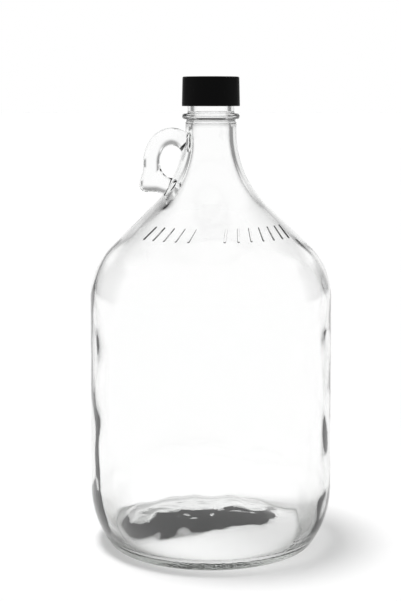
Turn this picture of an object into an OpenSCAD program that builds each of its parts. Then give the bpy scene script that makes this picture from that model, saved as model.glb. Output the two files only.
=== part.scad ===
// Round one gallon glass jug with a finger ring at its neck, and its black screw cap.
// The jug is blown as one piece of glass. It stands on Z = 0 with its axis on Z,
// and the finger ring lies in the XZ plane on the -X side.

/* [Body] */
// Outside diameter of the round body
body_d = 164; // [144:1:190]
// Height at which the straight side turns into the shoulder
side_top = 166.5; // [120:0.5:210]
// Thickness of the glass in the side, the shoulder and the neck
wall = 3.2; // [2.4:0.1:4]

/* [Base] */
// Radius of the long curve that brings the side in to the heel
heel_r = 61.5; // [50:0.5:70]
// Angle through which that curve turns in
heel_turn = 36; // [28:1:42]
// Radius of the small corner under the long curve
heel_corner_r = 3.5; // [1.5:0.5:6]
// Width of the flat ring that the jug stands on
stand_ring_w = 6; // [3:0.5:10]
// Height of the push-up in the middle of the underside
push_up = 7; // [3:0.5:10]
// Thickness of the glass in the middle of the base
base_wall = 6; // [5:0.5:9]
// How much higher the heel curve of the hollow starts, which thickens the glass low down
heel_lift = 4; // [2:0.5:6]
// Height of the inside floor at its lowest circle
floor_h = 6; // [5:0.5:8]
// Radius of the corner between the inside floor and the heel curve of the hollow
floor_corner_r = 7; // [5:0.5:10]

/* [Shoulder and neck] */
// Radius of the rounded shoulder
shoulder_r = 48.2; // [35:0.1:60]
// Slope of the shoulder, counted from the upright side
shoulder_slope = 46.6; // [42:0.1:52]
// Radius of the hollow curve from the shoulder up to the neck
flare_r = 71; // [60:1:90]
// Outside diameter of the straight neck
neck_d = 34.6; // [33.5:0.1:36]
// Height of the straight neck up to the neck ring
neck_h = 8.5; // [6:0.1:12]
// Diameter of the shallow groove under the neck ring
groove_d = 33.4; // [32:0.1:33.4]
// Height of that groove
groove_h = 2; // [1:0.1:3]
// Diameter of the neck ring over its bead
bead_d = 39.2; // [38:0.1:44]
// Radius of the bead
bead_r = 2; // [1.5:0.1:2.5]

/* [Finish] */
// Outside diameter of the plain glass between the threads
finish_d = 31.7; // [31:0.1:33]
// Diameter of the mouth
bore_d = 26; // [23:0.5:27]
// Diameter over the threads of the glass
thread_d = 34.4; // [34:0.1:36]
// Height of the finish from the neck ring to the rim
finish_h = 22; // [21:0.5:26]
// Radius of the two edges of the rim
rim_edge_r = 1; // [0.5:0.1:1.1]

/* [Finger ring] */
// Depth of the middle of the hole below the straight neck
hole_drop = 20.3; // [18:0.1:24]
// Width of the oval of the hole
hole_w = 16.4; // [14:0.2:18]
// Height of the oval
hole_h = 22.2; // [18:0.2:25]
// How far the neck reaches into the oval
hole_bite = 2; // [0.5:0.1:3]
// Thickness of the ring at its outer side
ring_side_t = 11.2; // [8:0.1:13]
// Thickness of the ring at its top and its foot
ring_end_t = 12; // [9:0.1:13]
// Thickness of the ring from front to back
ring_depth = 10.6; // [8:0.1:13]
// How much wider the ring is where it runs into the neck
ring_root = 0.6; // [0:0.1:0.8]
// How far the thumb spur stands out of the ring
spur_out = 8; // [4:0.5:10]
// Direction of the thumb spur from the middle of the hole
spur_at = 222; // [215:1:232]
// Spread of the thumb spur on its upper side, in degrees
spur_above = 16.5; // [12:0.5:24]
// Spread of the thumb spur on its lower side, in degrees
spur_below = 15; // [8:0.5:20]

/* [Cap] */
// Diameter of the cap at its open end
cap_d = 39.4; // [39:0.1:44]
// Diameter of the cap at its top
cap_top_d = 38.5; // [38:0.1:44]
// Height of the cap
cap_h = 19.2; // [15:0.1:21]
// Thickness of the roof of the cap
cap_roof = 1.6; // [1:0.1:2.5]
// Radius of the top edge of the cap
cap_edge_r = 0.9; // [0.4:0.1:1.2]
// Radius of the lower edges of the cap
cap_lip_r = 0.5; // [0.2:0.1:0.8]
// Room between the threads of the glass and the wall of the cap
cap_clearance = 0.3; // [0.2:0.05:0.5]

/* [Liner] */
// Thickness of the sealing disc
liner_t = 1; // [0.6:0.1:2]
// Room around the disc inside the cap
liner_clearance = 0.2; // [0.1:0.05:0.5]

/* [Hidden] */
$fn = 96;

glass_tint = [0.84, 0.92, 0.91, 0.45];
cap_black = [0.05, 0.05, 0.05];
liner_white = [0.93, 0.92, 0.88];

// Steps in which the long arcs and the small ones are drawn
long_steps = 12;
small_steps = 5;
// How far a cut runs past the face that it opens
cut = 1;

body_r = body_d / 2;
neck_r = neck_d / 2;
bore_r = bore_d / 2;

// The straight stretch between shoulder and flare closes what the two curves leave of the width
curves_r = shoulder_r + flare_r;
slope_len = (body_r - neck_r - curves_r * (1 - cos(shoulder_slope))) / sin(shoulder_slope);
neck_base = side_top + curves_r * sin(shoulder_slope) + slope_len * cos(shoulder_slope);
shoulder_mid = [body_r - shoulder_r, side_top];
flare_mid = [neck_r + flare_r, neck_base];

// The hollow has the same curve from its own slope into the mouth, which leaves the neck thicker than the wall
hollow_flare_z = (flare_mid * arm(shoulder_slope) - wall - (bore_r + flare_r) * cos(shoulder_slope))
    / sin(shoulder_slope);
hollow_flare_mid = [bore_r + flare_r, hollow_flare_z];

ring_base = neck_base + neck_h;
bead_top = ring_base + 2 * bead_r;
rim_top = bead_top + finish_h;

heel_top = heel_r * sin(heel_turn) + heel_corner_r * (1 - sin(heel_turn));
heel_mid = [body_r - heel_r, heel_top];
heel_corner_mid = [body_r - heel_r + (heel_r - heel_corner_r) * cos(heel_turn), heel_corner_r];
stand_ring_r = heel_corner_mid[0] - stand_ring_w;
push_up_r = (pow(stand_ring_r, 2) + pow(push_up, 2)) / (2 * push_up);

// The floor corner lies tangent in the heel curve of the hollow, and the floor is a dome that runs tangent into it
hollow_heel_mid = [heel_mid[0], heel_top + heel_lift];
hollow_heel_r = heel_r - wall;
hollow_heel_turn = asin((hollow_heel_mid[1] - floor_h - floor_corner_r) / (hollow_heel_r - floor_corner_r));
floor_corner_mid = hollow_heel_mid + (hollow_heel_r - floor_corner_r) * arm(-hollow_heel_turn);
floor_top = push_up + base_wall;
floor_rise = floor_corner_mid[1] - floor_top;
floor_r = (pow(floor_corner_mid[0], 2) + pow(floor_rise, 2) - pow(floor_corner_r, 2))
    / (2 * (floor_corner_r - floor_rise));
floor_turn = asin(floor_corner_mid[0] / (floor_r + floor_corner_r));

liner_z = rim_top;
roof_z = liner_z + liner_t;
cap_top = roof_z + cap_roof;
cap_z = cap_top - cap_h;
cap_bore_r = thread_d / 2 + cap_clearance;
liner_r = cap_bore_r - liner_clearance;

// Middle of the finger ring's hole, in X and Z
hole_z = neck_base - hole_drop;
hole_mid = [-(flare_at(hole_z) - hole_bite + hole_w / 2), hole_z];
// Stations around the finger ring, and sides of its section
ring_stations = 44;
ring_sides = 12;

// Points of an arc from one angle to another, both ends included
function arc(mid, r, from, to, steps) =
    [for (i = [0 : steps]) mid + r * arm(from + (to - from) * i / steps)];

function arm(angle) = [cos(angle), sin(angle)];

// Outside radius of the flare at a height below the neck
function flare_at(z) = neck_r + flare_r - sqrt(pow(flare_r, 2) - pow(neck_base - z, 2));

// Distance from the middle of an ellipse to its edge in one direction
function ellipse_at(half_w, half_h, angle) =
    1 / sqrt(pow(cos(angle) / half_w, 2) + pow(sin(angle) / half_h, 2));

// Inner and outer edge of the finger ring, seen from the front, in one direction from the hole's middle
function ring_inner(angle) = ellipse_at(hole_w / 2, hole_h / 2, angle);

function ring_outer(angle) =
    ellipse_at(hole_w / 2 + ring_side_t, hole_h / 2 + ring_end_t, angle) + spur(angle);

// The thumb spur is a soft bump, longer above than below
function spur(angle) =
    spur_out * exp(-pow((angle - spur_at) / (angle < spur_at ? spur_above : spur_below), 2));

// Half the thickness from front to back, which grows towards the neck
function ring_half_depth(angle) = ring_depth / 2 * (1 + ring_root * max(0, cos(angle)));

// One point of the ring's oval section
function ring_point(angle, side) =
    let (
        middle = (ring_outer(angle) + ring_inner(angle)) / 2,
        half = (ring_outer(angle) - ring_inner(angle)) / 2,
        flat = hole_mid + (middle + half * cos(side)) * arm(angle)
    )
    [flat[0], ring_half_depth(angle) * sin(side), flat[1]];

// Outline of the jug's outside from the middle of the base up to the rim, in radius and height
outside = concat(
    arc([0, push_up - push_up_r], push_up_r, 90, 90 - asin(stand_ring_r / push_up_r), long_steps),
    arc(heel_corner_mid, heel_corner_r, -90, -heel_turn, small_steps),
    arc(heel_mid, heel_r, -heel_turn, 0, long_steps),
    arc(shoulder_mid, shoulder_r, 0, shoulder_slope, long_steps),
    arc(flare_mid, flare_r, 180 + shoulder_slope, 180, long_steps),
    [[neck_r, ring_base - groove_h], [groove_d / 2, ring_base - groove_h], [groove_d / 2, ring_base]],
    arc([bead_d / 2 - bead_r, ring_base + bead_r], bead_r, -90, 90, long_steps),
    [[finish_d / 2, bead_top]],
    arc([finish_d / 2 - rim_edge_r, rim_top - rim_edge_r], rim_edge_r, 0, 90, small_steps),
    [[0, rim_top]]
);

// Outline of the hollow from the middle of the floor up through the mouth
inside = concat(
    arc([0, floor_top - floor_r], floor_r, 90, 90 - floor_turn, long_steps),
    arc(floor_corner_mid, floor_corner_r, -90 - floor_turn, -hollow_heel_turn, small_steps),
    arc(hollow_heel_mid, hollow_heel_r, -hollow_heel_turn, 0, long_steps),
    arc(shoulder_mid, shoulder_r - wall, 0, shoulder_slope, long_steps),
    arc(hollow_flare_mid, flare_r, 180 + shoulder_slope, 180, long_steps),
    arc([bore_r + rim_edge_r, rim_top - rim_edge_r], rim_edge_r, 180, 90, small_steps),
    [[bore_r + rim_edge_r, rim_top + cut], [0, rim_top + cut]]
);

// Outline of half the cap, open downwards
cap_outline = concat(
    arc([cap_bore_r + cap_lip_r, cap_z + cap_lip_r], cap_lip_r, 180, 270, small_steps),
    arc([cap_d / 2 - cap_lip_r, cap_z + cap_lip_r], cap_lip_r, -90, 0, small_steps),
    arc([cap_top_d / 2 - cap_edge_r, cap_top - cap_edge_r], cap_edge_r, 0, 90, small_steps),
    [[0, cap_top], [0, roof_z], [cap_bore_r, roof_z]]
);

// Closed ring swept around the hole. Its neck side lies inside the glass of the neck.
module finger_ring() {
    points = [
        for (i = [0 : ring_stations - 1], j = [0 : ring_sides - 1])
            ring_point(360 * i / ring_stations, 360 * j / ring_sides)
    ];
    faces = [
        for (i = [0 : ring_stations - 1], j = [0 : ring_sides - 1])
            let (
                next_i = (i + 1) % ring_stations,
                next_j = (j + 1) % ring_sides,
                a = i * ring_sides + j,
                b = next_i * ring_sides + j,
                c = next_i * ring_sides + next_j,
                d = i * ring_sides + next_j
            )
            each [[a, b, c], [a, c, d]]
    ];
    polyhedron(points, faces);
}

module jug() {
    color(glass_tint)
        difference() {
            union() {
                rotate_extrude() polygon(outside);
                finger_ring();
            }
            rotate_extrude() polygon(inside);
        }
}

module cap() {
    color(cap_black) rotate_extrude() polygon(cap_outline);
}

// Soft disc that the cap presses on the rim
module liner() {
    color(liner_white) translate([0, 0, liner_z]) cylinder(r = liner_r, h = liner_t);
}

jug();
cap();
liner();
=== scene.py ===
"""Looks of a clear one gallon glass jug with a finger ring, a neck ring and a black screw cap."""

import logging
import math
from dataclasses import dataclass, field
from enum import Enum

import bmesh
import bpy
import numpy as np
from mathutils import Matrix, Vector, noise


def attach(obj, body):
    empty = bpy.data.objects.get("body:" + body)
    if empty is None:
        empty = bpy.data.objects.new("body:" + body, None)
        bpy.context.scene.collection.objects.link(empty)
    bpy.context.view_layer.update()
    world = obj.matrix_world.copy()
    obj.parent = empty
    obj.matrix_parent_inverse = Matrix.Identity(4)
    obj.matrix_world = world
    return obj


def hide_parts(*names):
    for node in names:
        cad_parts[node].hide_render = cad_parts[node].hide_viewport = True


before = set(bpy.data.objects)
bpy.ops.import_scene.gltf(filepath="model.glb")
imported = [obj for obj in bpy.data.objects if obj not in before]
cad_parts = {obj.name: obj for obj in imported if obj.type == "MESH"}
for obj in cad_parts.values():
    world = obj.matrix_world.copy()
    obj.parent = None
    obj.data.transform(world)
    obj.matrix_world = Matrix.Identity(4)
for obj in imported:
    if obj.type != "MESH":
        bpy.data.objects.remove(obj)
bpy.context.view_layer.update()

MM = 0.001
LOG = logging.getLogger("glass_jug")

Point = tuple[float, float]
Outline = list[Point]
Colour = tuple[float, float, float]
Span = tuple[float, float]


def arc(mid: Point, r: float, start: float, end: float, steps: int) -> Outline:
    """Points of an arc, both ends included.

    Args:
        mid: Middle of the arc, in radius and height.
        r: Radius of the arc.
        start: Angle of the first point, in degrees.
        end: Angle of the last point, in degrees.
        steps: Number of steps between them.

    Returns:
        The points from the first to the last.
    """
    angles = np.radians(np.linspace(start, end, steps + 1))
    return [(mid[0] + r * math.cos(a), mid[1] + r * math.sin(a)) for a in angles]


def straight(start: Point, end: Point, steps: int) -> Outline:
    """Points on a straight line without its two ends.

    Args:
        start: Where the line starts.
        end: Where it ends.
        steps: Number of steps along it.

    Returns:
        The points between the ends.
    """
    shares = [i / steps for i in range(1, steps)]
    return [(start[0] + (end[0] - start[0]) * s, start[1] + (end[1] - start[1]) * s) for s in shares]


def rounded(corners: list[tuple[float, float, float]], steps: int) -> Outline:
    """Outline through corners, each rounded with its own radius.

    Args:
        corners: Radius, height and rounding radius of each corner. The first and last stay sharp.
        steps: Number of steps in each rounding.

    Returns:
        The points of the outline, from the first corner to the last.
    """
    points = [corners[0][:2]]
    for before, here, after in zip(corners, corners[1:], corners[2:]):
        mid = np.array(here[:2])
        to_before = np.array(before[:2]) - mid
        to_after = np.array(after[:2]) - mid
        to_before /= np.linalg.norm(to_before)
        to_after /= np.linalg.norm(to_after)
        half = math.acos(float(np.clip(np.dot(to_before, to_after), -1, 1))) / 2
        reach = here[2] / math.tan(half)
        inward = (to_before + to_after) / np.linalg.norm(to_before + to_after)
        centre = mid + inward * here[2] / math.sin(half)
        first = mid + to_before * reach - centre
        turn = math.pi - 2 * half
        side = math.copysign(1, to_before[1] * to_after[0] - to_before[0] * to_after[1])
        for i in range(steps + 1):
            a = side * turn * i / steps
            c, s = math.cos(a), math.sin(a)
            points.append((centre[0] + first[0] * c - first[1] * s, centre[1] + first[0] * s + first[1] * c))
    points.append(corners[-1][:2])
    return points


def smooth_step(low: float, high: float, value: float) -> float:
    """Soft step from 0 at low to 1 at high."""
    t = min(1.0, max(0.0, (value - low) / (high - low)))
    return t * t * (3 - 2 * t)


def lathe(name: str, rows: np.ndarray, closed: bool) -> bpy.types.Object:
    """Mesh from rows of points that run round the axis.

    Args:
        name: Name of the new object.
        rows: Array of rows by columns by 3, in millimetres. A pole is a row whose points are all the same.
        closed: Whether the last row joins the first.

    Returns:
        The new object, in metres, linked to the scene.
    """
    bm = bmesh.new()
    rings = []
    for row in rows:
        if np.ptp(row[:, :2]) < 1e-9:
            rings.append([bm.verts.new(Vector(row[0]) * MM)])
        else:
            rings.append([bm.verts.new(Vector(p) * MM) for p in row])
    pairs = list(zip(rings, rings[1:]))
    if closed:
        pairs.append((rings[-1], rings[0]))
    for low, high in pairs:
        count = max(len(low), len(high))
        if count == 1:
            continue
        for j in range(count):
            k = (j + 1) % count
            if len(low) == 1:
                bm.faces.new((low[0], high[k], high[j]))
            elif len(high) == 1:
                bm.faces.new((low[j], low[k], high[0]))
            else:
                bm.faces.new((low[j], low[k], high[k], high[j]))
    bmesh.ops.recalc_face_normals(bm, faces=bm.faces)
    for face in bm.faces:
        face.smooth = True
    mesh = bpy.data.meshes.new(name)
    bm.to_mesh(mesh)
    bm.free()
    piece = bpy.data.objects.new(name, mesh)
    bpy.context.scene.collection.objects.link(piece)
    return piece


def turned(outline: Outline, columns: int) -> np.ndarray:
    """Rows of points from an outline turned round the axis.

    Args:
        outline: Points in radius and height.
        columns: Number of points in each row.

    Returns:
        Array of rows by columns by 3.
    """
    angles = np.linspace(0, 2 * math.pi, columns, endpoint=False)
    points = np.array(outline)
    rows = np.empty((len(points), columns, 3))
    rows[:, :, 0] = points[:, 0:1] * np.cos(angles)
    rows[:, :, 1] = points[:, 0:1] * np.sin(angles)
    rows[:, :, 2] = points[:, 1:2]
    return rows


class Operation(Enum):
    """What a boolean does with its tool."""

    UNION = "UNION"
    DIFFERENCE = "DIFFERENCE"


def boolean(piece: bpy.types.Object, tool: bpy.types.Object, operation: Operation) -> None:
    """Joins or cuts a piece with a tool, and deletes the tool.

    Args:
        piece: The piece that is changed.
        tool: The closed mesh that is joined or taken away.
        operation: Whether the tool is joined or taken away.
    """
    modifier = piece.modifiers.new("Join", "BOOLEAN")
    modifier.operation = operation.value
    modifier.solver = "EXACT"
    modifier.object = tool
    graph = bpy.context.evaluated_depsgraph_get()
    mesh = bpy.data.meshes.new_from_object(piece.evaluated_get(graph))
    piece.modifiers.clear()
    piece.data = mesh
    bpy.data.objects.remove(tool, do_unlink=True)


@dataclass
class NodeMaker:
    """Adds nodes to a node tree and wires them up."""

    tree: bpy.types.NodeTree

    def add(self, kind: str, **settings: object) -> bpy.types.Node:
        """Adds a node.

        Args:
            kind: Node type, such as ShaderNodeMath.
            settings: Properties of the node.

        Returns:
            The new node.
        """
        node = self.tree.nodes.new(kind)
        for name, value in settings.items():
            setattr(node, name, value)
        return node

    def feed(self, target: bpy.types.NodeSocket, value: bpy.types.NodeSocket | float | tuple) -> None:
        """Wires a socket to another one, or sets its plain value."""
        if isinstance(value, bpy.types.NodeSocket):
            self.tree.links.new(value, target)
        else:
            target.default_value = value

    def maths(self, operation: str, *values: bpy.types.NodeSocket | float) -> bpy.types.NodeSocket:
        """Works out a sum or product of values.

        Args:
            operation: Operation of the Math node.
            values: Sockets or numbers that go in.

        Returns:
            The socket with the result.
        """
        node = self.add("ShaderNodeMath", operation=operation)
        for socket, value in zip(node.inputs, values):
            self.feed(socket, value)
        return node.outputs["Value"]

    def mixed(
        self, factor: bpy.types.NodeSocket, first: Colour | bpy.types.NodeSocket, second: Colour
    ) -> bpy.types.NodeSocket:
        """Mixes two colours.

        Args:
            factor: Share of the second colour.
            first: The first colour, plain or from a socket.
            second: The second colour.

        Returns:
            The socket with the mixed colour.
        """
        node = self.add("ShaderNodeMix", data_type="RGBA")
        self.feed(node.inputs["Factor"], factor)
        self.feed(node.inputs["A"], first if isinstance(first, bpy.types.NodeSocket) else (*first, 1))
        self.feed(node.inputs["B"], (*second, 1))
        return node.outputs["Result"]

    def flat(self, place: bpy.types.NodeSocket) -> bpy.types.NodeSocket:
        """Takes the height out of a place or direction."""
        node = self.add("ShaderNodeVectorMath", operation="MULTIPLY")
        self.feed(node.inputs[0], place)
        self.feed(node.inputs[1], (1, 1, 0))
        return node.outputs["Vector"]

    def length(self, place: bpy.types.NodeSocket) -> bpy.types.NodeSocket:
        """Works out the length of a vector."""
        node = self.add("ShaderNodeVectorMath", operation="LENGTH")
        self.feed(node.inputs[0], place)
        return node.outputs["Value"]

    def bump(self, height: bpy.types.NodeSocket, strength: float, distance: float) -> bpy.types.NodeSocket:
        """Turns a height into a normal, the distance in metres."""
        node = self.add("ShaderNodeBump")
        self.feed(node.inputs["Strength"], strength)
        self.feed(node.inputs["Distance"], distance)
        self.feed(node.inputs["Height"], height)
        return node.outputs["Normal"]

    def ramp(
        self, value: bpy.types.NodeSocket, start: float, end: float, low: float = 0.0, high: float = 1.0
    ) -> bpy.types.NodeSocket:
        """Soft step of a value.

        Args:
            value: The socket that goes in.
            start: Value at which the step starts.
            end: Value at which it ends.
            low: Result at the start.
            high: Result at the end.

        Returns:
            The socket with the result.
        """
        node = self.add("ShaderNodeMapRange", interpolation_type="SMOOTHSTEP")
        self.feed(node.inputs["Value"], value)
        self.feed(node.inputs["From Min"], start)
        self.feed(node.inputs["From Max"], end)
        self.feed(node.inputs["To Min"], low)
        self.feed(node.inputs["To Max"], high)
        return node.outputs["Result"]

    def blend(
        self, factor: bpy.types.NodeSocket, first: bpy.types.NodeSocket, second: bpy.types.NodeSocket
    ) -> bpy.types.NodeSocket:
        """Mixes two shaders.

        Args:
            factor: Share of the second shader.
            first: The first shader.
            second: The second shader.

        Returns:
            The socket with the mixed shader.
        """
        node = self.add("ShaderNodeMixShader")
        self.feed(node.inputs["Fac"], factor)
        self.feed(node.inputs[1], first)
        self.feed(node.inputs[2], second)
        return node.outputs["Shader"]


@dataclass(frozen=True)
class ScrewThread:
    """The thread that the glass and the cap share, in millimetres."""

    pitch: float = 4.23
    start_z: float = 300.0
    turns: float = 1.6
    half_width: float = 1.15
    fade: float = 0.12

    def ridge(self, angle: float, z: float, shift: float = 0.0) -> float:
        """Height of the ridge as a share of its crest at a point of the wall.

        Args:
            angle: Angle round the axis, in radians.
            z: Height of the point.
            shift: Extra height of the helix, for the cap's matching thread.

        Returns:
            A value from 0 to 1.
        """
        best = 0.0
        around = (angle / (2 * math.pi)) % 1.0
        turn = around
        while turn <= self.turns:
            middle = self.start_z + shift + self.pitch * turn
            away = abs(z - middle) / self.half_width
            if away < 1:
                ends = smooth_step(0, self.fade, turn) * smooth_step(0, self.fade, self.turns - turn)
                best = max(best, ends * math.cos(away * math.pi / 2) ** 1.4)
            turn += 1.0
        return best


@dataclass(frozen=True)
class Finish:
    """What every finish shares."""

    @staticmethod
    def start(name: str) -> tuple[bpy.types.Material, NodeMaker, bpy.types.Node]:
        """Makes a material with nodes.

        Args:
            name: Name of the material.

        Returns:
            The material, the maker of its nodes and its main shader.
        """
        material = bpy.data.materials.new(name)
        material.use_nodes = True
        return material, NodeMaker(material.node_tree), material.node_tree.nodes["Principled BSDF"]


@dataclass(frozen=True)
class GlassFinish(Finish):
    """Clear blown glass with a faint grey-green depth, and painted shade at its glancing edges and on the
    heel.
    """

    ior: float = 1.5
    clear: Colour = (1.0, 1.0, 1.0)
    # Painted shade: the base colour turns to rim at glancing angles, standing in for the dark edges that
    # refraction gives glass.
    rim: Colour = (0.6, 0.605, 0.595)
    painted_edge_shade_from: Span = (0.7, 1.0)
    depth_colour: Colour = (0.5, 0.56, 0.5)
    depth: float = 4.0
    light_through: Colour = (0.995, 0.995, 0.995)
    light_grazing: Colour = (0.3, 0.3, 0.3)
    grazing_from: Span = (0.35, 0.95)
    side_shade: float = 0.57
    heel_shade: float = 1.3
    shade_z: Span = (0.035, 0.012)
    # Painted shade: heel is the colour the heel of the glass is painted towards where it is seen at a slant,
    # standing in for its dark refraction of the shadowed floor.
    heel: Colour = (0.42, 0.425, 0.41)
    painted_heel_shade_facing: Span = (0.3, 0.75)
    heel_r: Span = (0.057, 0.064)
    heel_z: Span = (0.036, 0.014)
    heel_loss: float = 0.3
    stipple_mm: float = 1.7
    stipple_depth: float = 0.08
    stipple_r: Span = (0.056, 0.060)
    stipple_top: Span = (0.014, 0.006)
    skin_slope: float = -0.8
    skin_r: Span = (0.063, 0.065)
    skin_z: Span = (0.004, 0.0025)

    def build(self, name: str) -> bpy.types.Material:
        """Makes the material.

        Args:
            name: Name of the material.

        Returns:
            The new material.
        """
        material, make, glass = self.start(name)
        out = material.node_tree.nodes["Material Output"]
        for socket, value in (
            ("Metallic", 0.0), ("Roughness", 0.0), ("IOR", self.ior), ("Transmission Weight", 1.0)
        ):
            make.feed(glass.inputs[socket], value)
        layer = make.add("ShaderNodeLayerWeight")
        make.feed(layer.inputs["Blend"], 0.5)
        facing = layer.outputs["Facing"]
        place = make.add("ShaderNodeTexCoord").outputs["Object"]
        split = make.add("ShaderNodeSeparateXYZ")
        make.feed(split.inputs["Vector"], place)
        r, z = make.length(make.flat(place)), split.outputs["Z"]
        heel = make.maths("MULTIPLY", make.ramp(r, *self.heel_r), make.ramp(z, *self.heel_z))
        # Painted shade: the glancing edges of the glass are painted darker.
        painted_edge_shade = make.mixed(make.ramp(facing, *self.painted_edge_shade_from), self.clear, self.rim)
        # Painted shade: the heel is painted darker where it is seen at a slant.
        dark = make.maths("MULTIPLY", heel, make.ramp(facing, *self.painted_heel_shade_facing))
        make.feed(glass.inputs["Base Color"], make.mixed(dark, painted_edge_shade, self.heel))
        make.feed(glass.inputs["Normal"], self.stipple(make, place, r, z))
        grazing = make.ramp(facing, *self.grazing_from)
        low = make.ramp(z, *self.shade_z, self.side_shade, self.heel_shade)
        lost = make.maths("MULTIPLY", grazing, low)
        lost = make.maths("MAXIMUM", lost, make.maths("MULTIPLY", heel, self.heel_loss))
        clear = make.add("ShaderNodeBsdfTransparent")
        make.feed(clear.inputs["Color"], make.mixed(lost, self.light_through, self.light_grazing))
        path = make.add("ShaderNodeLightPath")
        seen = make.blend(path.outputs["Is Shadow Ray"], glass.outputs["BSDF"], clear.outputs["BSDF"])
        make.feed(out.inputs["Surface"], seen)
        inside = make.add("ShaderNodeVolumeAbsorption")
        make.feed(inside.inputs["Color"], (*self.depth_colour, 1))
        make.feed(inside.inputs["Density"], self.depth)
        make.feed(out.inputs["Volume"], inside.outputs["Volume"])
        return material

    def stipple(
        self,
        make: NodeMaker,
        place: bpy.types.NodeSocket,
        r: bpy.types.NodeSocket,
        z: bpy.types.NodeSocket,
    ) -> bpy.types.NodeSocket:
        """Makes the fine stipple of the bearing ring, only on the outer skin of the heel.

        Args:
            make: Maker of the material's nodes.
            place: Place in the jug.
            r: Its distance from the axis.
            z: Its height.

        Returns:
            The socket with the normal.
        """
        outer = make.ramp(make.maths("MULTIPLY_ADD", z, self.skin_slope, r), *self.skin_r)
        outer = make.maths("MAXIMUM", outer, make.ramp(z, *self.skin_z))
        mask = make.maths("MULTIPLY", make.ramp(r, *self.stipple_r), make.ramp(z, *self.stipple_top))
        cells = make.add("ShaderNodeTexVoronoi")
        make.feed(cells.inputs["Scale"], 1 / (self.stipple_mm * MM))
        make.feed(cells.inputs["Vector"], place)
        height = make.maths("MULTIPLY", cells.outputs["Distance"], make.maths("MULTIPLY", mask, outer))
        return make.bump(height, 1.0, self.stipple_depth * MM)


@dataclass(frozen=True)
class CapFinish(Finish):
    """Black moulded plastic with a low sheen."""

    colour: Colour = (0.0018, 0.0018, 0.0019)
    roughness: float = 0.42
    shine: float = 0.05
    grain_mm: float = 0.5
    grain_detail: float = 4.0
    grain_light: float = 1.6
    grain_rough: float = 0.08
    bump_share: float = 0.05
    bump_mm: float = 0.2

    def build(self, name: str) -> bpy.types.Material:
        """Makes the material.

        Args:
            name: Name of the material.

        Returns:
            The new material.
        """
        material, make, shader = self.start(name)
        make.feed(shader.inputs["Specular IOR Level"], self.shine)
        place = make.add("ShaderNodeTexCoord")
        noisy = make.add("ShaderNodeTexNoise")
        make.feed(noisy.inputs["Scale"], 1 / (self.grain_mm * MM))
        make.feed(noisy.inputs["Detail"], self.grain_detail)
        make.feed(noisy.inputs["Vector"], place.outputs["Object"])
        grain = noisy.outputs["Fac"]
        light = tuple(c * self.grain_light for c in self.colour)
        make.feed(shader.inputs["Base Color"], make.mixed(grain, self.colour, light))
        rough = make.add("ShaderNodeMapRange")
        make.feed(rough.inputs["To Min"], self.roughness - self.grain_rough)
        make.feed(rough.inputs["To Max"], self.roughness + self.grain_rough)
        make.feed(rough.inputs["Value"], grain)
        make.feed(shader.inputs["Roughness"], rough.outputs["Result"])
        make.feed(shader.inputs["Normal"], make.bump(grain, self.bump_share, self.bump_mm * MM))
        return material


@dataclass(frozen=True)
class FoamFinish(Finish):
    """Pale closed foam with fine pores."""

    colour: Colour = (0.82, 0.80, 0.74)
    pore: Colour = (0.66, 0.64, 0.58)
    pore_mm: float = 0.35
    roughness: float = 0.8
    bump_share: float = 0.3
    bump_mm: float = 0.1

    def build(self, name: str) -> bpy.types.Material:
        """Makes the material.

        Args:
            name: Name of the material.

        Returns:
            The new material.
        """
        material, make, shader = self.start(name)
        make.feed(shader.inputs["Roughness"], self.roughness)
        place = make.add("ShaderNodeTexCoord")
        cells = make.add("ShaderNodeTexVoronoi")
        make.feed(cells.inputs["Scale"], 1 / (self.pore_mm * MM))
        make.feed(cells.inputs["Vector"], place.outputs["Object"])
        depth = cells.outputs["Distance"]
        make.feed(shader.inputs["Base Color"], make.mixed(depth, self.colour, self.pore))
        make.feed(shader.inputs["Normal"], make.bump(depth, self.bump_share, self.bump_mm * MM))
        return material


@dataclass(frozen=True)
class ThickPlace:
    """A place where the glass of the side has stayed thicker, in millimetres."""

    side: int
    z: float
    tall: float
    thick: float
    width: float = 0.12

    def depth(self, x: float, z: float, r: float) -> float:
        """Extra thickness at a point of the hollow.

        Args:
            x: Place across the jug.
            z: Height.
            r: Distance from the axis.

        Returns:
            The extra thickness.
        """
        across = (x * self.side / r - 1) / self.width
        if across < -4:
            return 0.0
        return self.thick * math.exp(-(across**2) - ((z - self.z) / self.tall) ** 2)


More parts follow.
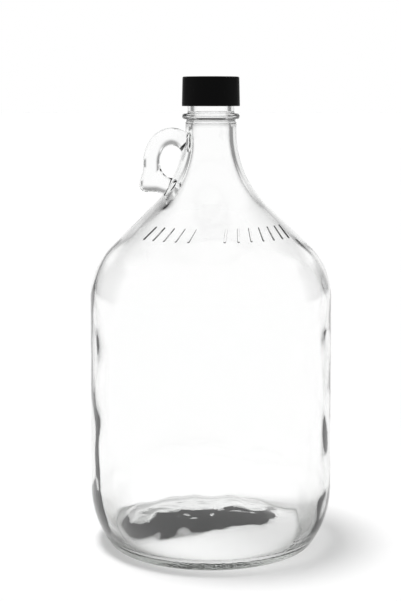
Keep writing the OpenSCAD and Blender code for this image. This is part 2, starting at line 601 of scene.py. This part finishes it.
@dataclass(frozen=True)
class BaseSlug:
    """Extra glass on the floor, which gathers towards the back as it does in blown bases.

    The sizes are in millimetres. Each step is a rise, where it starts and where it ends across the jug.
    """

    slope: float = 0.093
    easing: float = 0.0019
    front: float = -41.0
    front_steps: tuple[tuple[float, float, float], ...] = ((21, -15, 37), (20, 34, 50))
    back: float = 9.0
    back_steps: tuple[tuple[float, float, float], ...] = ((6, 2, 24), (-24, -48, -68), (-16, 38, 50))
    dip: float = 9.0
    dip_at: float = -12.0
    dip_width: float = 20.0
    wander: float = 1.6
    wander_long: float = 14.0
    fine: float = 0.7
    fine_size: Span = (6.0, 12.0)
    back_wander: float = 0.6
    ripple: float = 0.06
    ripple_size: Span = (16.0, 9.0)
    edge: Span = (69.0, 58.0)

    def rise(self, x: float, y: float) -> float:
        """How much higher the inside floor is at a place.

        Args:
            x: Place across the jug.
            y: Place from front to back.

        Returns:
            The height of the extra glass.
        """
        wander = self.wander * noise.noise(Vector((x / self.wander_long, 2.3, 0.7)))
        wander += self.fine * noise.noise(Vector((x / self.fine_size[0], y / self.fine_size[1], 1.9)))
        front = self.front + sum(size * smooth_step(a, b, x) for size, a, b in self.front_steps) + wander
        back = self.back + sum(size * smooth_step(a, b, x) for size, a, b in self.back_steps)
        back -= self.dip * math.exp(-(((x - self.dip_at) / self.dip_width) ** 2)) + self.back_wander * wander
        here = min(max(y, front), max(back, front))
        rise = self.slope * (here - front) - self.easing * (here**2 - front**2) / 2
        rise += self.ripple * noise.noise(Vector((x / self.ripple_size[0], y / self.ripple_size[1], 4.4)))
        return rise * smooth_step(*self.edge, math.hypot(x, y))


@dataclass
class Jug:
    """The blown glass, in millimetres."""

    body_r: float = 82.0
    side_top: float = 166.5
    wall: float = 3.2
    heel_r: float = 61.5
    heel_turn: float = 36.0
    heel_corner_r: float = 3.5
    stand_ring_w: float = 6.0
    push_up: float = 7.0
    base_wall: float = 6.0
    heel_lift: float = 4.0
    floor_h: float = 6.0
    floor_corner_r: float = 7.0
    shoulder_r: float = 48.2
    shoulder_slope: float = 46.6
    flare_r: float = 71.0
    neck_r: float = 17.3
    neck_h: float = 8.5
    groove_r: float = 16.7
    groove_h: float = 2.0
    bead_r: float = 2.0
    bead_out_r: float = 19.6
    finish_r: float = 15.85
    bore_r: float = 13.0
    thread_r: float = 17.2
    finish_h: float = 22.0
    rim_edge_r: float = 1.0
    columns: int = 224
    groove_edge_r: float = 0.5
    groove_top_r: float = 0.7
    bead_edge_r: float = 1.9
    bead_root_r: float = 1.3
    upright_from: float = 2.5
    straight_neck: float = 5.5
    floor_zone: float = 3.0
    uneven: float = 0.9
    swell_size: Span = (38.0, 46.0)
    swell_share: float = 0.7
    fine_size: Span = (15.0, 21.0)
    uneven_r: float = 60.0
    uneven_z: Span = (4.0, 30.0)
    side_dents: float = 0.5
    dent_size: Span = (70.0, 26.0)
    dent_r: Span = (70.0, 81.0)
    dent_z: Span = (20.0, 60.0)
    thick_places: tuple[ThickPlace, ...] = (
        ThickPlace(-1, 131, 15, 0.8),
        ThickPlace(-1, 90, 14, 0.5),
        ThickPlace(1, 143, 7, 0.5),
        ThickPlace(1, 72, 26, 0.45),
    )
    thick_finish: float = 1.0
    thick_finish_from: Span = (3.0, 9.0)
    root_z: tuple[float, float, float, float] = (207, 229, 265, 277)
    root_turn: Span = (22, 52)
    root_proud: float = 1.5
    slug: BaseSlug = field(default_factory=BaseSlug)
    thread: ScrewThread = field(default_factory=ScrewThread)

    @property
    def neck_base(self) -> float:
        """Height at which the flare has become the neck."""
        curves = self.shoulder_r + self.flare_r
        slope = math.radians(self.shoulder_slope)
        along = (self.body_r - self.neck_r - curves * (1 - math.cos(slope))) / math.sin(slope)
        return self.side_top + curves * math.sin(slope) + along * math.cos(slope)

    @property
    def ring_base(self) -> float:
        """Height of the underside of the neck ring."""
        return self.neck_base + self.neck_h

    @property
    def bead_top(self) -> float:
        """Height of the top of the neck ring's bead."""
        return self.ring_base + 2 * self.bead_r

    @property
    def rim_top(self) -> float:
        """Height of the rim."""
        return self.bead_top + self.finish_h

    @property
    def heel_top(self) -> float:
        """Height at which the side turns into the heel."""
        turn = math.sin(math.radians(self.heel_turn))
        return self.heel_r * turn + self.heel_corner_r * (1 - turn)

    @property
    def mouth_base(self) -> float:
        """Height at which the curve of the hollow has become the mouth."""
        slope = math.radians(self.shoulder_slope)
        across = (self.neck_r - self.bore_r) * math.cos(slope)
        return self.neck_base + (across - self.wall) / math.sin(slope)

    def outside(self) -> Outline:
        """Outline of the outside from the middle of the underside to the top of the neck."""
        heel_top = self.heel_top
        turn = math.radians(self.heel_turn)
        corner_r = self.body_r - self.heel_r + (self.heel_r - self.heel_corner_r) * math.cos(turn)
        ring_in = corner_r - self.stand_ring_w
        dome_r = (ring_in**2 + self.push_up**2) / (2 * self.push_up)
        dome_turn = math.degrees(math.asin(ring_in / dome_r))
        slope = self.shoulder_slope
        return [
            *arc((0, self.push_up - dome_r), dome_r, 90, 90 - dome_turn, 18),
            *straight((ring_in, 0), (corner_r, 0), 5),
            *arc((corner_r, self.heel_corner_r), self.heel_corner_r, -90, -self.heel_turn, 8),
            *arc((self.body_r - self.heel_r, heel_top), self.heel_r, -self.heel_turn, 0, 20)[1:],
            *straight((self.body_r, heel_top), (self.body_r, self.side_top), 22),
            *arc((self.body_r - self.shoulder_r, self.side_top), self.shoulder_r, 0, slope, 22),
            *arc((self.neck_r + self.flare_r, self.neck_base), self.flare_r, 180 + slope, 180, 40),
        ]

    def finish(self) -> Outline:
        """Outline from the straight neck over the bead, the screw finish and the rim into the mouth."""
        base = self.ring_base
        edge = self.rim_edge_r
        groove = base - self.groove_h
        upright_z = self.bead_top + self.upright_from
        corners = [
            (self.neck_r, base - self.straight_neck, 0),
            (self.neck_r, groove, self.groove_edge_r),
            (self.groove_r, groove + self.groove_edge_r, self.groove_edge_r),
            (self.groove_r, base, self.groove_top_r),
            (self.bead_out_r, base, self.bead_edge_r),
            (self.bead_out_r, self.bead_top, self.bead_edge_r),
            (self.finish_r, self.bead_top, self.bead_root_r),
            (self.finish_r, upright_z, 0),
        ]
        low = rounded(corners, 6)
        upright = straight((self.finish_r, upright_z), (self.finish_r, self.rim_top - edge), 52)
        rim = [
            *arc((self.finish_r - edge, self.rim_top - edge), edge, 0, 90, 5),
            *arc((self.bore_r + edge, self.rim_top - edge), edge, 90, 180, 5),
        ]
        return [*low, *upright, *rim]

    def inside(self) -> Outline:
        """Outline of the hollow from the mouth down to the middle of the floor."""
        heel = (self.body_r - self.heel_r, self.heel_top + self.heel_lift)
        heel_r = self.heel_r - self.wall
        reach = heel_r - self.floor_corner_r
        turn_in = math.asin((heel[1] - self.floor_h - self.floor_corner_r) / reach)
        corner = (heel[0] + reach * math.cos(turn_in), self.floor_h + self.floor_corner_r)
        turn_in = math.degrees(turn_in)
        top = self.push_up + self.base_wall
        rise = corner[1] - top
        dome_r = (corner[0] ** 2 + rise**2 - self.floor_corner_r**2) / (2 * (self.floor_corner_r - rise))
        turn = math.degrees(math.asin(corner[0] / (dome_r + self.floor_corner_r)))
        slope = self.shoulder_slope
        side_r = self.body_r - self.wall
        flare = arc((self.bore_r + self.flare_r, self.mouth_base), self.flare_r, 180, 180 + slope, 36)
        shoulder_mid = (self.body_r - self.shoulder_r, self.side_top)
        shoulder = arc(shoulder_mid, self.shoulder_r - self.wall, slope, 0, 20)
        return [
            *straight((self.bore_r, self.rim_top - self.rim_edge_r), (self.bore_r, self.mouth_base), 16),
            *flare,
            *straight(flare[-1], shoulder[0], 14),
            *shoulder,
            *straight((side_r, self.side_top), (side_r, heel[1]), 26),
            *arc(heel, heel_r, 0, -turn_in, 16),
            *arc(corner, self.floor_corner_r, -turn_in, -90 - turn, 14)[1:],
            *arc((0, top - dome_r), dome_r, 90 - turn, 90, 22)[1:],
        ]

    def shell(self) -> bpy.types.Object:
        """Outside, finish and hollow as one closed mesh with a thread and an uneven hollow.

        Returns:
            The mesh object of the glass without its finger ring.
        """
        outer, finish, inner = self.outside(), self.finish(), self.inside()
        rows = turned([*outer, *finish, *inner], self.columns)
        first, last = len(outer), len(outer) + len(finish)
        crest = self.thread_r - self.finish_r
        for row in rows[first:last]:
            for point in row:
                r = math.hypot(point[0], point[1])
                if abs(r - self.finish_r) < 1e-6:
                    angle = math.atan2(point[1], point[0])
                    out = crest * self.thread.ridge(angle, point[2])
                    point[:2] *= (r + out) / r
        for row in rows[1 : len(outer)]:
            for point in row:
                self.push_outside(point)
        for row in rows[last:]:
            for point in row:
                self.push_inside(point)
        return lathe("glass_jug", rows, closed=False)

    def push_inside(self, point: np.ndarray) -> None:
        """Moves a point of the hollow a little, so that the wall is as uneven as blown glass is.

        Args:
            point: The point, which is changed.
        """
        r = math.hypot(point[0], point[1])
        if point[2] < self.floor_h + self.floor_corner_r + self.floor_zone:
            point[2] += self.slug.rise(point[0], point[1])
        if r < 1e-6:
            return
        wide, tall = self.swell_size
        swell = noise.noise(Vector((point[0] / wide, point[1] / wide, point[2] / tall)))
        wide, tall = self.fine_size
        fine = noise.noise(Vector((point[0] / wide + 7, point[1] / wide, point[2] / tall)))
        depth = self.uneven * abs(self.swell_share * swell + (1 - self.swell_share) * fine)
        depth *= smooth_step(self.bore_r, self.uneven_r, r) * smooth_step(*self.uneven_z, point[2])
        depth += sum(spot.depth(point[0], point[2], r) for spot in self.thick_places)
        depth += self.thick_finish * smooth_step(*self.thick_finish_from, point[2] - self.mouth_base)
        point[:2] *= (r - depth) / r

    def push_outside(self, point: np.ndarray) -> None:
        """Dents the side a little and raises the root of the finger ring.

        Args:
            point: The point, which is changed.
        """
        r = math.hypot(point[0], point[1])
        wide, tall = self.dent_size
        wave = noise.noise(Vector((point[0] / wide, point[1] / wide, point[2] / tall + 3)))
        out = -self.side_dents * abs(wave)
        out *= smooth_step(*self.dent_r, r) * smooth_step(*self.dent_z, point[2])
        turn = math.degrees(math.atan2(abs(point[1]), -point[0]))
        start, full, fade, end = self.root_z
        root = smooth_step(start, full, point[2]) * smooth_step(end, fade, point[2])
        out += self.root_proud * root * (1 - smooth_step(*self.root_turn, turn))
        point[:2] *= (r + out) / r

    def build(self) -> bpy.types.Object:
        """Builds the whole glass.

        Returns:
            The mesh object that stands for the CAD jug.
        """
        glass = self.shell()
        ring = FingerRing(self).build()
        boolean(glass, ring, Operation.UNION)
        boolean(glass, ShoulderMarks(self).build(), Operation.UNION)
        for polygon in glass.data.polygons:
            polygon.use_smooth = True
        glass.data.set_sharp_from_angle(angle=math.radians(40))
        return glass


@dataclass
class FingerRing:
    """The finger ring with its thumb spur, in millimetres."""

    jug: Jug
    hole_drop: float = 20.3
    hole_w: float = 16.4
    hole_h: float = 22.2
    hole_bite: float = 2.0
    side_t: float = 11.2
    end_t: float = 12.0
    depth: float = 10.6
    root: float = 0.6
    spur_out: float = 7.6
    spur_at: float = 221.5
    spur_above: float = 17.0
    spur_below: float = 15.0
    stations: int = 96
    sides: int = 36

    @staticmethod
    def ellipse(half_w: float, half_h: float, angle: float) -> float:
        """Distance from the middle of an ellipse to its edge, the angle in radians."""
        return 1 / math.hypot(math.cos(angle) / half_w, math.sin(angle) / half_h)

    def middle(self) -> Point:
        """Middle of the hole, in X and Z."""
        jug = self.jug
        z = jug.neck_base - self.hole_drop
        neck = jug.neck_r + jug.flare_r - math.sqrt(jug.flare_r**2 - (jug.neck_base - z) ** 2)
        return -(neck - self.hole_bite + self.hole_w / 2), z

    def spur(self, angle: float) -> float:
        """Height of the thumb spur over the ring in one direction, the angle in degrees."""
        spread = self.spur_above if angle < self.spur_at else self.spur_below
        return self.spur_out * math.exp(-(((angle - self.spur_at) / spread) ** 2))

    def build(self) -> bpy.types.Object:
        """Builds the ring, cut off inside the wall of the neck.

        Returns:
            A closed mesh that runs into the glass of the neck.
        """
        mid = self.middle()
        rows = np.empty((self.stations, self.sides, 3))
        for i in range(self.stations):
            angle = 2 * math.pi * i / self.stations
            near = self.ellipse(self.hole_w / 2, self.hole_h / 2, angle)
            far = self.ellipse(self.hole_w / 2 + self.side_t, self.hole_h / 2 + self.end_t, angle)
            far += self.spur(math.degrees(angle))
            half_depth = self.depth / 2 * (1 + self.root * max(0.0, math.cos(angle)))
            for j in range(self.sides):
                side = 2 * math.pi * j / self.sides
                reach = (near + far) / 2 + (far - near) / 2 * math.cos(side)
                rows[i, j] = (
                    mid[0] + reach * math.cos(angle),
                    half_depth * math.sin(side),
                    mid[1] + reach * math.sin(angle),
                )
        ring = lathe("finger_ring", rows, closed=True)
        boolean(ring, self.core(), Operation.DIFFERENCE)
        return ring

    def core(self) -> bpy.types.Object:
        """Solid of the neck up to the middle of its wall, which cuts the ring off."""
        jug = self.jug
        half = jug.wall / 2
        slope = jug.shoulder_slope
        outline = [
            (0.0, jug.side_top),
            *arc((jug.body_r - jug.shoulder_r, jug.side_top), jug.shoulder_r - half, 0, slope, 6),
            *arc((jug.neck_r - half + jug.flare_r, jug.neck_base), jug.flare_r, 180 + slope, 180, 30),
            (jug.neck_r - half, jug.neck_base + 8),
            (0.0, jug.neck_base + 8),
        ]
        return lathe("neck_core", turned(outline, 96), closed=False)


@dataclass
class ShoulderMarks:
    """Two groups of plain raised bars on the front of the shoulder, in millimetres and degrees."""

    jug: Jug
    height_z: float = 213.5
    length: float = 12.5
    width: float = 1.7
    proud: float = 0.7
    lean: float = 14.0
    left: tuple[float, ...] = (-47.0, -38.5, -30.0, -21.5, -13.0)
    right: tuple[float, ...] = (10.0, 19.0, 28.0, 37.0, 46.0, 55.0, 63.0)

    def bar(self, bm: bmesh.types.BMesh, turn: float) -> None:
        """Adds one bar, sunk to half its thickness in the slope of the shoulder.

        Args:
            bm: The mesh that it is added to.
            turn: Its direction from the front of the jug.
        """
        jug = self.jug
        slope = math.radians(jug.shoulder_slope)
        start_r = jug.body_r - jug.shoulder_r * (1 - math.cos(slope))
        start_z = jug.side_top + jug.shoulder_r * math.sin(slope)
        r = start_r - (self.height_z - start_z) * math.tan(slope)
        around = math.radians(turn - 90)
        beam = Vector((math.cos(around), math.sin(around), 0))
        out = beam * math.cos(slope) + Vector((0, 0, math.sin(slope)))
        up = -beam * math.sin(slope) + Vector((0, 0, math.cos(slope)))
        across = up.cross(out)
        lean = math.radians(self.lean)
        along = up * math.cos(lean) + across * math.sin(lean)
        beside = along.cross(out)
        middle = beam * r + Vector((0, 0, self.height_z))
        made = bmesh.ops.create_uvsphere(bm, u_segments=16, v_segments=12, radius=1.0)
        for vert in made["verts"]:
            x, y, z = vert.co
            reach = self.length / 2 - self.width / 2
            ends = math.copysign(reach, z) if abs(z) > 1e-6 else 0.0
            thick = beside * x * self.width / 2 + out * y * self.proud
            vert.co = (middle + thick + along * (z * self.width / 2 + ends)) * MM

    def build(self) -> bpy.types.Object:
        """Builds all the bars as one mesh of separate bars."""
        bm = bmesh.new()
        for turn in (*self.left, *self.right):
            self.bar(bm, turn)
        bmesh.ops.recalc_face_normals(bm, faces=bm.faces)
        mesh = bpy.data.meshes.new("shoulder_marks")
        bm.to_mesh(mesh)
        bm.free()
        marks = bpy.data.objects.new("shoulder_marks", mesh)
        bpy.context.scene.collection.objects.link(marks)
        return marks


@dataclass
class ScrewCap:
    """The black cap, in millimetres."""

    jug: Jug
    foot_r: float = 19.7
    top_r: float = 19.25
    height: float = 19.9
    roof: float = 1.8
    liner_t: float = 1.0
    edge_r: float = 0.9
    lip_r: float = 0.5
    clearance: float = 0.3
    thread_in: float = 1.1
    columns: int = 160

    @property
    def roof_z(self) -> float:
        """Height of the underside of the roof."""
        return self.jug.rim_top + self.liner_t

    def outline(self) -> tuple[Outline, Outline]:
        """Outline of the outside with the roof, and of the inner wall.

        Returns:
            The outside from the foot to the middle of the roof's underside, and the inner wall downwards.
        """
        top = self.roof_z + self.roof
        foot = top - self.height
        bore = self.jug.thread_r + self.clearance
        outside = rounded(
            [
                (bore + self.lip_r, foot, 0),
                (self.foot_r, foot, self.lip_r),
                (self.top_r, top, self.edge_r),
                (0.0, top, 0),
            ],
            6,
        )
        inner = straight((bore, self.roof_z), (bore, foot + self.lip_r), 56)
        lip = arc((bore + self.lip_r, foot + self.lip_r), self.lip_r, 180, 270, 4)[:-1]
        return [*outside, (0.0, self.roof_z), (bore, self.roof_z)], [*inner, *lip]

    def build(self) -> bpy.types.Object:
        """Builds the cap with the thread inside.

        Returns:
            The mesh object, which stands for the CAD cap.
        """
        outside, inner = self.outline()
        rows = turned([*outside, *inner], self.columns)
        bore = self.jug.thread_r + self.clearance
        thread = self.jug.thread
        for row in rows[len(outside) :]:
            for point in row:
                r = math.hypot(point[0], point[1])
                if abs(r - bore) < 1e-6:
                    angle = math.atan2(point[1], point[0])
                    rise = self.thread_in * thread.ridge(angle, point[2], thread.pitch / 2)
                    point[:2] *= (r - rise) / r
        cap = lathe("screw_cap", rows, closed=True)
        cap.data.set_sharp_from_angle(angle=math.radians(40))
        return cap


@dataclass
class Liner:
    """The sealing disc that lies on the rim, in millimetres."""

    jug: Jug
    r: float = 17.3
    thick: float = 1.0
    edge_r: float = 0.25
    press: float = 0.1
    press_near: float = 0.4
    press_far: float = 0.8
    press_edge_r: float = 0.3

    def build(self) -> bpy.types.Object:
        """Builds the disc with rounded edges and the pressed ring that the rim leaves in it.

        Returns:
            The mesh object, which stands for the CAD liner.
        """
        low, high = self.jug.rim_top, self.jug.rim_top + self.thick
        face_in, face_out = self.jug.bore_r, self.jug.finish_r
        outline = rounded(
            [
                (0.0, low, 0),
                (face_in - self.press_far, low, self.press_edge_r),
                (face_in - self.press_near, low + self.press, self.press_edge_r),
                (face_out + self.press_near, low + self.press, self.press_edge_r),
                (face_out + self.press_far, low, self.press_edge_r),
                (self.r, low, self.edge_r),
                (self.r, high, self.edge_r),
                (0.0, high, 0),
            ],
            4,
        )
        disc = lathe("sealing_disc", turned(outline, 96), closed=False)
        disc.data.set_sharp_from_angle(angle=math.radians(50))
        return disc


@dataclass
class Studio:
    """Floor, light and camera. The camera's sizes are in millimetres and degrees."""

    camera_back: float = 895.5
    camera_up: float = 300.8
    camera_tilt: float = 3.5
    lens: float = 79.02
    shift_x: float = -0.0173
    shift_y: float = -0.2
    floor_r: float = 30.0
    floor_z: float = -0.0001
    sensor: float = 36.0
    far_floor: Span = (1.8, 3.6)
    card: Span = (0.95, 0.78)
    card_end: Span = (0.1, 0.4)
    card_top: Span = (0.3, 0.15)
    card_white: float = 0.25
    upper: Span = (0.8, 0.62)
    upper_low: Span = (0.55, 0.4)
    over: Span = (0.82, 0.95)
    over_low: Span = (0.06, 0.4)
    above: Span = (0.45, 0.75)
    above_low: Span = (0.32, 0.44)
    over_top: Span = (0.97, 0.88)
    over_white: float = 0.33
    sky: float = 0.18
    paper: float = 0.8
    lift: float = 0.2
    key: float = 2.64
    key_angle: float = 15.0
    key_direction: tuple[float, float, float] = (0.145, -0.03, -1.0)

    def camera(self) -> None:
        """Makes the camera at the photograph's viewing angle."""
        data = bpy.data.cameras.new("Camera")
        data.lens = self.lens
        data.sensor_width = self.sensor
        data.shift_x = self.shift_x
        data.shift_y = self.shift_y
        data.clip_start, data.clip_end = 0.05, 100.0
        camera = bpy.data.objects.new("Camera", data)
        camera.location = (0, -self.camera_back * MM, self.camera_up * MM)
        camera.rotation_euler = (math.radians(90 - self.camera_tilt), 0, 0)
        bpy.context.scene.collection.objects.link(camera)
        bpy.context.scene.camera = camera

    def cards(self) -> bpy.types.NodeTree:
        """Makes the group that darkens the surroundings on both sides of the white background.

        Returns:
            A group that turns a direction or a place on the floor into a share of white.
        """
        group = bpy.data.node_groups.new("studio_cards", "ShaderNodeTree")
        group.interface.new_socket(name="Place", in_out="INPUT", socket_type="NodeSocketVector")
        for name in ("White", "Behind"):
            group.interface.new_socket(name=name, in_out="OUTPUT", socket_type="NodeSocketFloat")
        make = NodeMaker(group)
        into = make.add("NodeGroupInput")
        out = make.add("NodeGroupOutput")
        unit = make.add("ShaderNodeVectorMath", operation="NORMALIZE")
        make.feed(unit.inputs[0], make.flat(into.outputs["Place"]))
        split = make.add("ShaderNodeSeparateXYZ")
        make.feed(split.inputs["Vector"], unit.outputs["Vector"])
        beside = make.ramp(split.outputs["Y"], *self.card)
        card = make.maths("MULTIPLY", beside, make.ramp(split.outputs["Y"], *self.card_end))
        shade = make.maths("MULTIPLY", card, 1 - self.card_white)
        make.feed(out.inputs["White"], make.maths("SUBTRACT", 1.0, shade))
        make.feed(out.inputs["Behind"], split.outputs["Y"])
        return group

    def world(self, cards: bpy.types.NodeTree) -> None:
        """White surroundings with darker cards for what glass and gloss see.

        Args:
            cards: The group that darkens the surroundings beside the background.
        """
        world = bpy.data.worlds.new("Studio")
        bpy.context.scene.world = world
        world.use_nodes = True
        world.node_tree.nodes.clear()
        make = NodeMaker(world.node_tree)
        out = make.add("ShaderNodeOutputWorld")
        place = make.add("ShaderNodeTexCoord")
        split = make.add("ShaderNodeSeparateXYZ")
        make.feed(split.inputs["Vector"], place.outputs["Generated"])
        up = split.outputs["Z"]
        card = make.add("ShaderNodeGroup", node_tree=cards)
        make.feed(card.inputs["Place"], place.outputs["Generated"])
        behind = card.outputs["Behind"]
        beside = make.maths("SUBTRACT", 1.0, card.outputs["White"])
        beside = make.maths("MULTIPLY", beside, make.ramp(up, *self.card_top))
        upper = make.maths("MULTIPLY", make.ramp(behind, *self.upper), make.ramp(behind, *self.card_end))
        upper = make.maths("MULTIPLY", upper, make.ramp(up, *self.upper_low, 0.0, 1 - self.card_white))
        dark = 1 - self.over_white
        over = make.ramp(behind, *self.over, 0.0, dark)
        over = make.maths("MULTIPLY", make.ramp(up, *self.over_low), over)
        above = make.ramp(behind, *self.above, 0.0, dark)
        above = make.maths("MULTIPLY", make.ramp(up, *self.above_low), above)
        over = make.maths("MULTIPLY", make.maths("MAXIMUM", over, above), make.ramp(up, *self.over_top))
        sides = make.maths("SUBTRACT", 1.0, make.maths("MAXIMUM", beside, upper))
        seen = make.add("ShaderNodeBackground")
        make.feed(seen.inputs["Color"], make.maths("MULTIPLY", sides, make.maths("SUBTRACT", 1.0, over)))
        plain = []
        for strength in (self.sky, 1.0):
            node = make.add("ShaderNodeBackground")
            make.feed(node.inputs["Color"], (1, 1, 1, 1))
            make.feed(node.inputs["Strength"], strength)
            plain.append(node.outputs["Background"])
        path = make.add("ShaderNodeLightPath")
        through = make.maths("MAXIMUM", path.outputs["Is Glossy Ray"], path.outputs["Is Transmission Ray"])
        inner = make.blend(through, plain[0], seen.outputs["Background"])
        make.feed(out.inputs["Surface"], make.blend(path.outputs["Is Camera Ray"], inner, plain[1]))

    def floor(self, cards: bpy.types.NodeTree) -> None:
        """A white floor that keeps the shadow of the object.

        Args:
            cards: The group that darkens the far floor beside the background, for what glass and gloss see.
        """
        bm = bmesh.new()
        bmesh.ops.create_circle(bm, cap_ends=True, radius=self.floor_r, segments=64)
        mesh = bpy.data.meshes.new("Floor")
        bm.to_mesh(mesh)
        bm.free()
        floor = bpy.data.objects.new("Floor", mesh)
        floor.location.z = self.floor_z
        bpy.context.scene.collection.objects.link(floor)
        material = bpy.data.materials.new("Floor")
        material.use_nodes = True
        material.node_tree.nodes.clear()
        make = NodeMaker(material.node_tree)
        out = make.add("ShaderNodeOutputMaterial")
        paper = make.add("ShaderNodeBsdfDiffuse")
        make.feed(paper.inputs["Color"], (self.paper, self.paper, self.paper, 1))
        path = make.add("ShaderNodeLightPath")
        through = make.maths("MAXIMUM", path.outputs["Is Glossy Ray"], path.outputs["Is Transmission Ray"])
        seen = make.maths("MAXIMUM", path.outputs["Is Camera Ray"], through)
        glow = make.add("ShaderNodeEmission")
        make.feed(glow.inputs["Strength"], make.maths("MULTIPLY", seen, self.lift))
        both = make.add("ShaderNodeAddShader")
        make.feed(both.inputs[0], paper.outputs["BSDF"])
        make.feed(both.inputs[1], glow.outputs["Emission"])
        place = make.add("ShaderNodeTexCoord")
        card = make.add("ShaderNodeGroup", node_tree=cards)
        make.feed(card.inputs["Place"], place.outputs["Object"])
        far_glow = make.add("ShaderNodeEmission")
        make.feed(far_glow.inputs["Color"], card.outputs["White"])
        away = make.length(place.outputs["Object"])
        far = make.maths("MULTIPLY", make.ramp(away, *self.far_floor), through)
        surface = make.blend(far, both.outputs["Shader"], far_glow.outputs["Emission"])
        make.feed(out.inputs["Surface"], surface)
        mesh.materials.append(material)

    def lamps(self) -> None:
        """A broad key light from above and a little left, which leaves no spot on the glass."""
        data = bpy.data.lights.new("Key", "SUN")
        data.energy = self.key
        data.angle = math.radians(self.key_angle)
        key = bpy.data.objects.new("Key", data)
        key.rotation_euler = Vector(self.key_direction).to_track_quat("-Z", "Y").to_euler()
        key.visible_glossy = False
        key.visible_transmission = False
        bpy.context.scene.collection.objects.link(key)

    def build(self) -> None:
        """Sets up the whole studio."""
        bpy.context.scene.view_settings.view_transform = "Standard"
        self.camera()
        cards = self.cards()
        self.world(cards)
        self.floor(cards)
        self.lamps()


def place(piece: bpy.types.Object, node: str, body: str, slot: str, material: bpy.types.Material) -> None:
    """Dresses a piece and puts it in the place of its CAD node.

    Args:
        piece: The mesh object.
        node: The CAD node that it stands for.
        body: The CAD body that it rides on.
        slot: Name of the material slot; not used.
        material: The finish of the piece.
    """
    piece.data.materials.clear()
    piece.data.materials.append(material)
    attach(piece, body)
    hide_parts(node)
    LOG.info("%s: %d faces", piece.name, len(piece.data.polygons))


def main() -> None:
    """Builds every piece and the studio."""
    logging.basicConfig(level=logging.INFO, format="%(message)s")
    Studio().build()
    jug = Jug()
    place(jug.build(), "jug", "jug", "clear_glass", GlassFinish().build("clear_glass"))
    black = CapFinish().build("black_cap")
    place(ScrewCap(jug).build(), "cap", "cap", "black_cap", black)
    place(Liner(jug).build(), "liner", "liner", "liner", FoamFinish().build("liner"))


if __name__ == "__main__":
    main()
